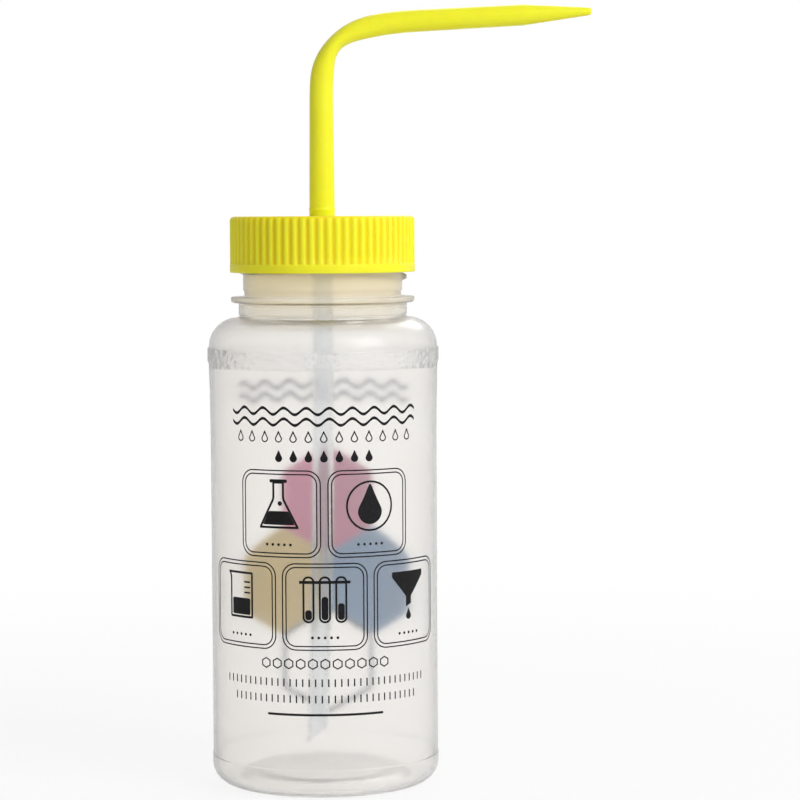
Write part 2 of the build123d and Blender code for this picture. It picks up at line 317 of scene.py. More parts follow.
class Wire:
    """An output socket of a material's nodes. Sums and products of wires and numbers add Math nodes."""

    def __init__(self, tree, socket=None):
        self.tree = tree
        self.socket = socket

    def node(self, kind, settings=None, output=0, **sockets):
        """Adds a node: its settings first, then its sockets by name or _number, and returns an output."""
        made = self.tree.nodes.new(kind)
        for key, value in (settings or {}).items():
            setattr(made, key, value)
        for key, value in sockets.items():
            socket = made.inputs[int(key[1:])] if key[0] == "_" else made.inputs[key.replace("_", " ")]
            if isinstance(value, Wire):
                self.tree.links.new(value.socket, socket)
            else:
                socket.default_value = value
        return Wire(self.tree, made.outputs[output] if made.outputs else None)

    def maths(self, operation, first, second):
        """A Math node on two wires or numbers."""
        return self.node("ShaderNodeMath", {"operation": operation}, _0=first, _1=second)

    def __add__(self, other):
        return self.maths("ADD", self, other)

    def __radd__(self, other):
        return self.maths("ADD", other, self)

    def __sub__(self, other):
        return self.maths("SUBTRACT", self, other)

    def __rsub__(self, other):
        return self.maths("SUBTRACT", other, self)

    def __mul__(self, other):
        return self.maths("MULTIPLY", self, other)

    def __rmul__(self, other):
        return self.maths("MULTIPLY", other, self)

    def step(self, low, high):
        """0 below low, 1 above high and a soft step between."""
        soft = {"interpolation_type": "SMOOTHSTEP"}
        return self.node("ShaderNodeMapRange", soft, Value=self, From_Min=low, From_Max=high)

    def distance(self):
        """How far this place is from the origin."""
        return self.node("ShaderNodeVectorMath", {"operation": "LENGTH"}, output=1, _0=self)

    def noise(self, scale, detail=2.0, roughness=0.5, stretch=(1, 1, 1)):
        """Noise on a vector, with its scale in waves a metre, stretched along the axes."""
        place = self.node("ShaderNodeMapping", Vector=self, Scale=stretch)
        return self.node("ShaderNodeTexNoise", Vector=place, Scale=scale, Detail=detail, Roughness=roughness)

    def blend(self, first, second):
        """The first colour where this mask is 0 and the second where it is 1."""
        return self.node("ShaderNodeMix", {"data_type": "RGBA"}, output=2, _0=self, _6=first, _7=second)

    def bump(self, distance, strength=1.0, under=None):
        """A normal from this height, of a full swing in metres, over another normal."""
        extra = {"Normal": under} if under else {}
        return self.node("ShaderNodeBump", Height=self, Distance=distance, Strength=strength, **extra)


def shaded(tint, *factors):
    """A colour times one factor, or one for each of its channels."""
    channels = factors if len(factors) == 3 else factors * 3
    return tuple(channel * factor for channel, factor in zip(tint[:3], channels)) + (1,)


def new_material(name):
    """An empty material, the wire that adds its nodes and its Object coordinates."""
    material = bpy.data.materials.new(name)
    material.use_nodes = True
    material.node_tree.nodes.clear()
    wire = Wire(material.node_tree)
    place = wire.node("ShaderNodeTexCoord", output=3)
    return material, wire, place


def surface(wire, **sockets):
    """The material's one shader and its output."""
    shader = wire.node("ShaderNodeBsdfPrincipled", **sockets)
    wire.node("ShaderNodeOutputMaterial", _0=shader)


def height_of(wire, place):
    """The height of a place above the foot."""
    return wire.node("ShaderNodeSeparateXYZ", output=2, Vector=place)


def dip_tube_plastic(tint):
    """Natural drawn plastic: clear enough to show what is behind it, with a fine frosted grain."""
    material, wire, place = new_material("dip_tube_plastic")
    cloud = place.noise(38, 3, 0.55)
    shade = (cloud * 0.5 + 0.25).blend(shaded(tint, 0.985), tuple(tint))
    fine = place.noise(2600, 2, 0.6)
    long_wave = place.noise(60, 2, 0.5, (1, 1, 0.35))
    rough = 0.235 + 0.05 * fine + 0.03 * cloud
    relief = fine.bump(0.003 * MM, 0.5, long_wave.bump(0.2 * MM, 0.3))
    surface(wire, Base_Color=shade, Roughness=rough, IOR=1.22, Transmission_Weight=0.95, Normal=relief)
    return material


def bottle_plastic(colours, sizes):
    """Blown plastic, hazy on its outer skin only, with painted yellow light from the cap tinting it warm
    under the cap, and wavy on its bumper band.
    """
    material, wire, place = new_material("bottle_plastic")
    height = height_of(wire, place)
    cloud = place.noise(34, 3, 0.55)
    clear = (cloud * 0.6 + 0.2).blend(shaded(colours.bottle, 0.985), tuple(colours.bottle))
    # Painted light: this share rises towards the lip, and the cap's yellow light is painted into the
    # plastic's colour there.
    painted_cap_light = height.step(sizes.bumper_top + 4 * MM, LIP_HEIGHT - 14 * MM)
    shade = painted_cap_light.blend(clear, tuple(colours.neck))
    fine = place.noise(2400, 2, 0.6)
    slow = place.noise(45, 2, 0.5, (1, 1, 0.3))
    ripple = place.noise(420, 3, 0.6, (1, 1, 2.2))
    above_base = height.step(sizes.bumper_base - 1.2 * MM, sizes.bumper_base)
    above_top = height.step(sizes.bumper_top - 1 * MM, sizes.bumper_top)
    band = above_base * (1 - above_top)
    rough = 0.17 + 0.04 * fine + 0.10 * band * ripple
    wavy = (ripple * band).bump(0.75 * MM, 1.0, slow.bump(0.1 * MM, 0.3))
    relief = fine.bump(0.0008 * MM, 0.5, wavy)
    clear_wall = wire.node(
        "ShaderNodeBsdfPrincipled",
        Base_Color=shade, Roughness=rough, IOR=1.25, Transmission_Weight=1.0, Normal=relief,
    )
    # The milky skin is tinted by the same painted cap light under the cap.
    bloom = painted_cap_light.blend(tuple(colours.haze), tuple(colours.neck))
    dull = 0.35 + 0.1 * cloud
    milk = wire.node("ShaderNodeBsdfPrincipled", Base_Color=bloom, Roughness=dull, Normal=relief)
    outer_skin = wire.node("ShaderNodeAttribute", {"attribute_name": SKIN}, output=2)
    # The haze is partly real milky bloom and partly thickened under the cap to carry the painted cap light.
    haze = outer_skin * (0.13 + 0.05 * cloud + 0.14 * band * ripple + 0.24 * painted_cap_light)
    wall = wire.node("ShaderNodeMixShader", _0=haze, _1=clear_wall, _2=milk)
    depth = wire.node("ShaderNodeVolumeAbsorption", Color=(0.55, 0.5, 0.44, 1), Density=18.0)
    wire.node("ShaderNodeOutputMaterial", _0=wall, _1=depth)
    return material


def yellow_plastic(name, tint, roughness, drawn=False, grooves=None):
    """Satin yellow plastic with a faint moulded grain, and painted shade that colours any grooves darker and
    oranger.
    """
    material, wire, place = new_material(name)
    cloud = place.noise(70, 3, 0.6)
    shade = cloud.step(0.3, 0.7).blend(shaded(tint, 0.98, 0.965, 0.8), tuple(tint))
    if grooves:
        level = wire.node("ShaderNodeVectorMath", {"operation": "MULTIPLY"}, _0=place, _1=(1, 1, 0))
        reach = level.distance()
        # Painted shade: the grooves between the cap's ribs get a darker, oranger colour for the shade that
        # falls in them.
        painted_groove_shade = reach.step(grooves[0] - 0.4 * MM, grooves[0] - 0.3 * MM) * (1 - reach.step(*grooves))
        shade = painted_groove_shade.blend(shade, shaded(tint, 0.96, 0.83, 0.3))
    grain = place.noise(1500 if drawn else 2600, 3, 0.6)
    rough = roughness + 0.07 * cloud + 0.05 * grain
    relief = grain.bump(0.012 * MM, 0.5, place.noise(120, 2, 0.5).bump(0.05 * MM, 0.25))
    surface(
        wire, Base_Color=shade, Roughness=rough, IOR=1.5, Specular_IOR_Level=0.2, Normal=relief,
        Subsurface_Weight=0.6, Subsurface_Radius=(1.0, 0.65, 0.05), Subsurface_Scale=3 * MM,
    )
    return material


def printed_ink(name, tint):
    """Screen-printed ink: dense, a little uneven, slightly duller than the plastic."""
    material, wire, place = new_material(name)
    wear = 0.02
    mottle = place.noise(900, 3, 0.65)
    pale = tuple(c + (0.5 - c) * wear for c in tint[:3]) + (1,)
    shade = mottle.step(0.45, 0.8).blend(tuple(tint), pale)
    rough = 0.42 + 0.2 * mottle
    relief = mottle.bump(0.008 * MM, 0.5)
    surface(wire, Base_Color=shade, Roughness=rough, Specular_IOR_Level=0.15, Normal=relief)
    return material


def disc_foam(tint):
    """White foam of the sealing disc, with tiny closed cells."""
    material, wire, place = new_material("disc_foam")
    cells = wire.node("ShaderNodeTexVoronoi", Vector=place, Scale=2600.0)
    shade = cells.step(0.1, 0.6).blend(tuple(tint), shaded(tint, 0.94))
    surface(wire, Base_Color=shade, Roughness=0.6 + 0.1 * cells, Normal=cells.bump(0.02 * MM, 0.4))
    return material


# The bottle

def panel_radius(size, height):
    """Radius of the label panel at a height."""
    share = max(0, (height - size.body_straight) / (size.bumper_base - size.body_straight))
    return size.body_radius + size.panel_flare * share**2


class WASH_OT_bottle(Operator):
    """Model the blown bottle with its push-up, bumper band, shoulder, collar, flange and threaded neck"""
    bl_idname = "wash_bottle.bottle"
    bl_label = "Bottle"

    def execute(self, context):
        model = context.scene.wash_bottle
        size, thread, colours = model.bottle, model.thread, model.colours
        panel = size.body_radius
        heel = size.heel_radius
        heel_proud, heel_edge = 0.18 * MM, 0.2 * MM
        band = panel + heel_proud
        band_top = size.heel_height + 0.7 * MM
        rise = band - heel - size.foot_width
        rise_width, rise_round, dome = 4.5 * MM, 6 * MM, 0.6 * MM
        outer = panel + size.panel_flare
        bumper = outer + size.bumper_proud
        shoulder_top = size.bumper_top + size.shoulder_radius
        collar_base = shoulder_top + 0.9 * MM
        collar_top = collar_base + 3.6 * MM
        flange_top = collar_top + 1.8 * MM
        neck_base = flange_top + 1.95 * MM
        neck_root = size.neck_radius - 0.35 * MM
        mouth = size.neck_radius - size.neck_wall
        inner = panel - size.side_wall
        shoulder_wall = 1.5 * MM
        floor_height = size.push_up + size.base_wall
        heights = [height for _, height in rows((0, size.body_straight), (0, size.bumper_base), 8)]
        corners = [
            (0, size.push_up + dome),
            (rise * 0.4, size.push_up + 0.5 * MM),
            (rise - rise_width, size.push_up, rise_round),
            (rise, 0, 0.7 * MM),
            (band, 0, heel),
            (band, size.heel_height + 0.5 * MM, heel_edge),
            (panel, band_top, heel_edge),
            *rows((panel, band_top), (panel, size.body_straight), 12),
            (panel, size.body_straight),
            *[(panel_radius(size, height), height) for height in heights],
            (outer, size.bumper_base, 0.5 * MM),
            (bumper, size.bumper_base + 1 * MM, 0.6 * MM),
            (bumper, size.bumper_top, 0.12 * MM),
            (outer - 0.05 * MM, size.bumper_top, 0.08 * MM),
            (outer, shoulder_top, size.shoulder_radius - 0.3 * MM),
            (size.collar_radius - 0.25 * MM, shoulder_top, 0.5 * MM),
            (size.collar_radius - 0.2 * MM, collar_base - 0.1 * MM, 0.2 * MM),
            (size.collar_radius, collar_base + 0.2 * MM, 0.2 * MM),
            (size.collar_radius, collar_top, 0.5 * MM),
            (size.flange_radius, collar_top, 0.9 * MM),
            (size.flange_radius, flange_top, 0.3 * MM),
            (neck_root, flange_top, 0.4 * MM),
            (neck_root, neck_base - 0.35 * MM),
            *rows((size.neck_radius, neck_base), (size.neck_radius, LIP_HEIGHT - 1.2 * MM), 64),
            (size.neck_radius, LIP_HEIGHT, 0.4 * MM),
            (mouth, LIP_HEIGHT, 0.3 * MM),
            (mouth, shoulder_top - 0.1 * MM, 1.5 * MM),
            (size.collar_radius - size.neck_wall, shoulder_top - shoulder_wall, 1.0 * MM),
            (outer - shoulder_wall, shoulder_top - shoulder_wall, size.shoulder_radius - shoulder_wall),
            (outer - shoulder_wall, size.bumper_top - 1 * MM),
            (inner, size.body_straight),
            *rows((inner, size.body_straight), (inner, heel), 8),
            (inner, size.base_wall, heel - size.base_wall),
            (rise, size.base_wall, 1 * MM),
            (rise - rise_width, floor_height, rise_round),
            (0, floor_height + dome),
        ]
        mesh = lathe(outline(*corners), size.segments)
        neck = [
            vert for vert in mesh.verts
            if neck_base - 0.1 * MM < vert.co.z < LIP_HEIGHT - 0.5 * MM
            and vert.co.xy.length > size.neck_radius - 0.1 * MM
        ]
        raise_thread(neck, thread, thread.neck_start, 0, thread.neck_turns, 1)
        mark_outer_skin(mesh, size.bumper_top)
        finished(mesh, "bottle_shell", bottle_plastic(colours, size), "bottle", "bottle_wall", "bottle")
        return {"FINISHED"}


# The print

def outline_only(sheet, face, line):
    """Leaves only a line of this width along a face's edge."""
    bmesh.ops.inset_region(sheet, faces=[face], thickness=line, use_even_offset=True, use_boundary=True)
    bmesh.ops.delete(sheet, geom=[face], context="FACES")


def round_corners(sheet, corners, rounding, segments):
    """Rounds the corners of a flat face, and returns the face."""
    made = bmesh.ops.bevel(
        sheet, geom=corners, offset=rounding, offset_type="OFFSET", segments=segments, profile=0.5,
        affect="VERTICES", material=-1,
    )
    return made["verts"][0].link_faces[0]


def plate(sheet, at, width, height, rounding=0.0, line=0.0):
    """A rectangle, which may have round corners and be left as a line."""
    place = Matrix.Translation((*at, 0)) @ Matrix.Diagonal((width / 2, height / 2, 1, 1))
    corners = bmesh.ops.create_grid(sheet, x_segments=1, y_segments=1, size=1, matrix=place)["verts"]
    face = corners[0].link_faces[0]
    if rounding:
        face = round_corners(sheet, corners, rounding, 8)
    if line:
        outline_only(sheet, face, line)


def polygon(sheet, at, points, line=0.0, rounding=0.0):
    """A polygon of a few corners in millimetres round a place, which may be left as a line."""
    verts = [sheet.verts.new((at[0] + x * MM, at[1] + y * MM, 0)) for x, y in points]
    face = sheet.faces.new(verts)
    face.normal_update()
    if face.normal.z < 0:
        face.normal_flip()
    if rounding:
        face = round_corners(sheet, verts, rounding, 4)
    if line:
        outline_only(sheet, face, line)


def disc(sheet, at, radius, segments):
    """The vertices of a filled circle."""
    place = Matrix.Translation((*at, 0))
    made = bmesh.ops.create_circle(sheet, cap_ends=True, segments=segments, radius=radius, matrix=place)
    return made["verts"]


def dot(sheet, at, radius, line=0.0):
    """A disc or a ring."""
    verts = disc(sheet, at, radius, 28)
    if line:
        outline_only(sheet, verts[0].link_faces[0], line)


def drop(sheet, at, radius, line=0.0):
    """A drop: a disc whose upper half is drawn out to a point."""
    verts = disc(sheet, at, radius, 32)
    for vert in verts:
        up = (vert.co.y - at[1]) / radius
        if up > 0:
            vert.co.y += radius * 1.1 * up**3
            vert.co.x = at[0] + (vert.co.x - at[0]) * (1 - 0.55 * up**2)
    if line:
        outline_only(sheet, verts[0].link_faces[0], line)


def hexagon(sheet, at, radius, line=0.0, rounding=0.0):
    """A hexagon with a corner at its top."""
    points = [(radius / MM * sin(turn * pi / 3), radius / MM * cos(turn * pi / 3)) for turn in range(6)]
    polygon(sheet, at, points, line, rounding)


def wave(sheet, centre, width, height, swing, waves):
    """A ribbon that swings up and down like water."""
    steps = waves * 12
    place = Matrix.Translation((*centre, 0)) @ Matrix.Diagonal((width / 2, height / 2, 1, 1))
    verts = bmesh.ops.create_grid(sheet, x_segments=steps, y_segments=1, size=1, matrix=place)["verts"]
    for vert in verts:
        vert.co.y += swing * sin((vert.co.x - centre[0]) / width * waves * FULL_TURN)


def row(sheet, centre, count, pitch, draw):
    """Draws count copies in a row, centred."""
    for index in range(count):
        draw(sheet, (centre[0] + (index - (count - 1) / 2) * pitch, centre[1]))


def beaker(sheet, at, line):
    """A beaker with its lip, its level and three marks."""
    polygon(sheet, at, ((-6, 7.5), (-4.9, 5.8), (-4.9, -6.5), (4.9, -6.5), (4.9, 7.5)), line * 1.8, 0.5 * MM)
    plate(sheet, (at[0], at[1] - 3 * MM), 7.6 * MM, 5 * MM, 0.5 * MM)
    for step in range(3):
        plate(sheet, (at[0] + 2.6 * MM, at[1] + (1.2 + 1.6 * step) * MM), 2.4 * MM, line * 1.3)


def flask(sheet, at, line):
    """A conical flask, half full."""
    edge = ((-1.9, 7.5), (-1.9, 2.4), (-6.6, -6.6), (6.6, -6.6), (1.9, 2.4), (1.9, 7.5))
    polygon(sheet, at, edge, line * 1.8, 0.6 * MM)
    plate(sheet, (at[0], at[1] + 7.6 * MM), 5.6 * MM, 1.0 * MM, 0.3 * MM)
    polygon(sheet, at, ((-3.1, -1.4), (-5.2, -5.5), (5.2, -5.5), (3.1, -1.4)), 0, 0.4 * MM)
    dot(sheet, (at[0] + 0.5 * MM, at[1] + 0.9 * MM), 0.7 * MM)


def funnel(sheet, at, line):
    """A funnel with a drop under it, both filled, so the line's width isn't used."""
    left = ((-6.6, 7.2), (-6.6, 5.6), (-1.1, -0.4), (-1.1, -3.6))
    polygon(sheet, at, (*left, (1.1, -2.6), (1.1, -0.4), (6.6, 5.6), (6.6, 7.2)))
    drop(sheet, (at[0], at[1] - 6.3 * MM), 1.1 * MM)


def tubes(sheet, at, line):
    """Three test tubes with different levels."""
    for index, level in enumerate((3.0, 7.0, 5.0)):
        across = at[0] + (index - 1) * 4.9 * MM
        plate(sheet, (across, at[1]), 3.6 * MM, 14 * MM, 1.7 * MM, line * 1.6)
        plate(sheet, (across, at[1] + (level / 2 - 6.1) * MM), 2.0 * MM, level * MM, 0.9 * MM)
    plate(sheet, (at[0], at[1] + 5.2 * MM), 15.4 * MM, 0.9 * MM)


def big_drop(sheet, at, line):
    """A large drop with a ring round it."""
    drop(sheet, (at[0], at[1] - 1.6 * MM), 3.9 * MM)
    dot(sheet, at, 7.6 * MM, line * 1.6)


def framed(sheet, at, size, motif):
    """A motif in a double-lined frame with round corners, over a row of dots."""
    side = size.frame_size
    plate(sheet, at, side, side, 4.2 * MM, size.line)
    plate(sheet, at, side - 2.2 * MM, side - 2.2 * MM, 3.2 * MM, size.line)
    motif(sheet, (at[0], at[1] + 2.2 * MM), size.line)
    row(sheet, (at[0], at[1] - 9.2 * MM), 5, 1.9 * MM, lambda s, p: dot(s, p, 0.42 * MM))


def wrap(sheet, size, ink, back=False):
    """Cuts a flat sheet into narrow strips and lays it round the panel, with the ink's thickness."""
    strip, under_ink = 0.9 * MM, 0.004 * MM
    across = [vert.co.x for vert in sheet.verts]
    for index in range(ceil(min(across) / strip), floor(max(across) / strip) + 1):
        bmesh.ops.bisect_plane(
            sheet, geom=sheet.verts[:] + sheet.edges[:] + sheet.faces[:], dist=1e-9,
            plane_co=(index * strip, 0, 0), plane_no=(1, 0, 0),
        )
    grown = bmesh.ops.extrude_face_region(sheet, geom=sheet.faces[:])["geom"]
    top = {item for item in grown if isinstance(item, bmesh.types.BMVert)}
    for vert in sheet.verts:
        radius = panel_radius(size, vert.co.y) + (ink if vert in top else under_ink)
        angle = vert.co.x / size.body_radius + (pi if back else 0)
        vert.co = (radius * sin(angle), -radius * cos(angle), vert.co.y)
    bmesh.ops.recalc_face_normals(sheet, faces=sheet.faces)
    return sheet


class WASH_OT_front_print(Operator):
    """Print the front: two framed pictures over three, under waves and drops and over rows of strokes"""
    bl_idname = "wash_bottle.front_print"
    bl_label = "Front print"

    def execute(self, context):
        model = context.scene.wash_bottle
        bottle, size = model.bottle, model.print
        sheet = bmesh.new()
        line = size.line
        step = size.frame_size + size.frame_gap
        wave_heights = (116.6 * MM, 113.4 * MM)
        drop_radius, drop_pitch = 1.15 * MM, 4.6 * MM
        open_drops, full_drops = 108.4 * MM, 102.6 * MM
        comb_height, rule_height = 41.2 * MM, 25.9 * MM
        stroke_pitch, stroke = 1.95 * MM, (0.42 * MM, 2.3 * MM)
        for height in wave_heights:
            wave(sheet, (0, height), size.wave_width, 0.9 * MM, 1.0 * MM, 9)
        row(sheet, (0, open_drops), 13, drop_pitch, lambda s, p: drop(s, p, drop_radius, line))
        row(sheet, (0, full_drops), 7, drop_pitch, lambda s, p: drop(s, p, drop_radius))
        for index, motif in enumerate((flask, big_drop)):
            framed(sheet, ((index - 0.5) * step, size.upper_row), size, motif)
        for index, motif in enumerate((beaker, tubes, funnel)):
            framed(sheet, ((index - 1) * step, size.lower_row), size, motif)
        row(sheet, (0, comb_height), 11, 3.7 * MM, lambda s, p: hexagon(s, p, 1.7 * MM, line))
        for height, count in ((35.5 * MM, 36), (30.6 * MM, 32)):
            row(sheet, (0, height), count, stroke_pitch, lambda s, p: plate(s, p, *stroke))
        plate(sheet, (0, rule_height), 36 * MM, 0.7 * MM)
        wrap(sheet, bottle, size.ink)
        material = printed_ink("black_ink", model.colours.ink)
        finished(sheet, "front_print", material, "bottle", "bottle_wall", sharp=30)
        return {"FINISHED"}


class WASH_OT_back_print(Operator):
    """Print the back: a comb of coloured hexagons under two waves"""
    bl_idname = "wash_bottle.back_print"
    bl_label = "Back print"

    def execute(self, context):
        model = context.scene.wash_bottle
        bottle, size, colours = model.bottle, model.print, model.colours
        line_width = 1.3 * MM
        wave_heights = (117.3 * MM, 121.3 * MM)
        fields = {
            "pink": (-1 * MM, 84 * MM),
            "blue": (-16.3 * MM, 58 * MM),
            "straw": (14.3 * MM, 58 * MM),
        }
        for name, place in fields.items():
            sheet = bmesh.new()
            hexagon(sheet, place, size.comb, 0, size.comb_rounding)
            wrap(sheet, bottle, size.ink, back=True)
            material = printed_ink(name + "_ink", getattr(colours, name))
            finished(sheet, "back_print_" + name, material, "bottle", "bottle_wall", sharp=30)
        sheet = bmesh.new()
        hexagon(sheet, (-1 * MM, 32 * MM), size.comb, line_width, size.comb_rounding)
        for height in wave_heights:
            wave(sheet, (0, height), size.wave_width, line_width, 1.2 * MM, 7)
        wrap(sheet, bottle, size.ink, back=True)
        material = printed_ink("slate_ink", colours.slate)
        finished(sheet, "back_print_lines", material, "bottle", "bottle_wall", sharp=30)
        return {"FINISHED"}


# The cap and the disc

def cut_grooves(mesh, size, rib, rim_top):
    """Pulls the skirt in between its ribs, from the plain rim up through the rounded top edge."""
    for vert in mesh.verts:
        reach = vert.co.xy.length
        if vert.co.z > rim_top + 0.06 * MM and reach > size.groove_radius:
            turn = atan2(vert.co.y, vert.co.x) * size.ribs / FULL_TURN % 1
            groove = 1 - smooth_share(abs(turn - 0.5) * 2, 0.15, 0.75)
            run_out = smooth_share(vert.co.z, rim_top, rim_top + 0.45 * MM)
            scale_round_axis(vert, min(1, (rib - size.rib_depth * groove * run_out) / reach))


class WASH_OT_cap(Operator):
    """Model the ribbed screw cap with its internal thread"""
    bl_idname = "wash_bottle.cap"
    bl_label = "Cap"

    def execute(self, context):
        model = context.scene.wash_bottle
        size, thread = model.cap, model.thread
        rib = size.groove_radius + size.rib_depth
        rim = rib + size.rim_proud
        rim_top = CAP_BOTTOM + size.rim_height
        under = CAP_TOP - size.top_thickness
        edge_base = CAP_TOP - size.top_edge
        rib_base, run_out_top = rim_top + 0.05 * MM, rim_top + 0.5 * MM
        corners = [
            (size.bore_radius + 0.5 * MM, CAP_BOTTOM, 0.15 * MM),
            (rim, CAP_BOTTOM, 0.35 * MM),
            (rim - 0.03 * MM, rim_top - 0.3 * MM),
            (rim - 0.05 * MM, rim_top, 0.1 * MM),
            (rib, rib_base),
            *rows((rib, rib_base), (rib, run_out_top), 3),
            *rows((rib, run_out_top), (rib, edge_base), 6),
            (rib, CAP_TOP, size.top_edge),
            (rib - 6 * MM, CAP_TOP),
            (size.hole_radius, CAP_TOP, 0.2 * MM),
            (size.hole_radius, under, 0.2 * MM),
            (size.bore_radius, under, 0.6 * MM),
            *rows((size.bore_radius, under - 0.7 * MM), (size.bore_radius, CAP_BOTTOM + 0.6 * MM), 44),
            (size.bore_radius, CAP_BOTTOM + 0.5 * MM),
        ]
        mesh = lathe(outline(*corners), size.ribs * 8)
        bore_top = under - 0.6 * MM
        bore = [
            vert for vert in mesh.verts
            if abs(vert.co.xy.length - size.bore_radius) < 0.05 * MM and vert.co.z < bore_top
        ]
        cap_start = thread.neck_start + thread.pitch
        raise_thread(bore, thread, cap_start, pi, thread.cap_turns, -1)
        cut_grooves(mesh, size, rib, rim_top)
        # The radii between which painted shade darkens the grooves.
        grooves = (size.groove_radius, rib - 0.05 * MM)
        material = yellow_plastic("cap_plastic", model.colours.yellow, 0.32, grooves=grooves)
        finished(mesh, "screw_cap", material, "cap", "cap_plastic", "cap", sharp=50)
        return {"FINISHED"}


class WASH_OT_disc(Operator):
    """Model the sealing disc that the cap presses on the lip"""
    bl_idname = "wash_bottle.disc"
    bl_label = "Sealing disc"

    def execute(self, context):
        low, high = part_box("sealing_disc")
        model = context.scene.wash_bottle
        hole = model.spout.stem_base + 0.3 * MM
        rounding = 0.15 * MM
        corners = [
            (hole, low.z, rounding),
            (high.x, low.z, rounding),
            (high.x, high.z, rounding),
            (hole, high.z, rounding),
            (hole, (low.z + high.z) / 2),
        ]
        mesh = lathe(outline(corners[-1], *corners), 144)
        material = disc_foam(model.colours.disc)
        finished(mesh, "sealing_ring", material, "seal", "seal", "sealing_disc")
        return {"FINISHED"}


# The spout and the dip tube

def tube_ring(ring, place, direction, across, in_plane):
    """Moves a ring's vertices to a station of a tube that runs in the XZ plane."""
    side = Vector((0, 1, 0))
    normal = direction.cross(side)
    count = len(ring)
    for index, vert in enumerate(ring):
        angle = index * FULL_TURN / count
        vert.co = place + side * across * cos(angle) + normal * in_plane * sin(angle)


def ring_edges(ring):
    """The edges that run round a ring of vertices."""
    return {edge for vert in ring for edge in vert.link_edges if all(end in ring for end in edge.verts)}


def sweep(stations, segments):
    """A closed bmesh of rings, bridged in order, through stations of (place, direction, across, in plane)."""
    mesh = bmesh.new()
    loops = []
    for place, direction, across, in_plane in stations:
        ring = bmesh.ops.create_circle(mesh, cap_ends=False, segments=segments, radius=MM)["verts"]
        tube_ring(ring, place, direction, across, in_plane)
        loops.append(ring)
    for near, far in zip(loops, loops[1:] + loops[:1]):
        bmesh.ops.bridge_loops(mesh, edges=[*ring_edges(near), *ring_edges(far)])
    bmesh.ops.recalc_face_normals(mesh, faces=mesh.faces)
    return mesh


def between(first, last, share):
    """The value at a share of the way from the first to the last."""
    return first + (last - first) * share


class SpoutLine:
    """The spout's middle line: straight stem, bend and straight arm."""

    def __init__(self, size):
        self.size = size
        self.along = Vector((cos(size.arm_rise), 0, sin(size.arm_rise)))
        corner = Vector((0, 0, CAP_TOP + size.arm_height))
        self.start = Vector((0, 0, CAP_TOP + size.stem_height))
        self.end = corner + self.along * size.bend_reach
        self.handles = (
            self.start,
            self.start + Vector((0, 0, size.bend_pull_up)),
            self.end - self.along * size.bend_pull_out,
            self.end,
        )
        self.arm_end = corner + self.along * (size.arm_reach / self.along.x)
        self.tip = self.arm_end + self.along * ((TIP_REACH - self.arm_end.x) / self.along.x)

    def bend(self, share):
        """Place and direction at a share of the bend."""
        a, b, c, d = self.handles
        rest = 1 - share
        place = a * rest**3 + b * 3 * rest**2 * share + c * 3 * rest * share**2 + d * share**3
        direction = (b - a) * rest**2 + (c - b) * 2 * rest * share + (d - c) * share**2
        return place, direction.normalized()

    def squeezed(self, radius, share):
        """The two radii of the flattened tube at a share of the bend."""
        nearness = max(0, 1 - abs(share - 0.5) / 0.33)
        squeeze = sin(nearness * pi / 2) ** 2
        return radius + squeeze * self.size.bend_spread, radius - squeeze * self.size.bend_squeeze

    def run(self, stem_base, stem_top, arm_start, arm_end, bottom, steps=40):
        """Stations from a height on the stem to the arm's end, with the bend in so many steps."""
        stations = []
        straight_steps = 6
        for step in range(straight_steps):
            share = step / straight_steps
            radius = between(stem_base, stem_top, share)
            stations.append((Vector((0, 0, bottom)).lerp(self.start, share), UP, radius, radius))
        for step in range(steps + 1):
            share = step / steps
            place, direction = self.bend(share)
            stations.append((place, direction, *self.squeezed(between(stem_top, arm_start, share), share)))
        for step in range(1, straight_steps + 1):
            share = step / straight_steps
            radius = between(arm_start, arm_end, share)
            stations.append((self.end.lerp(self.arm_end, share), self.along, radius, radius))
        return stations


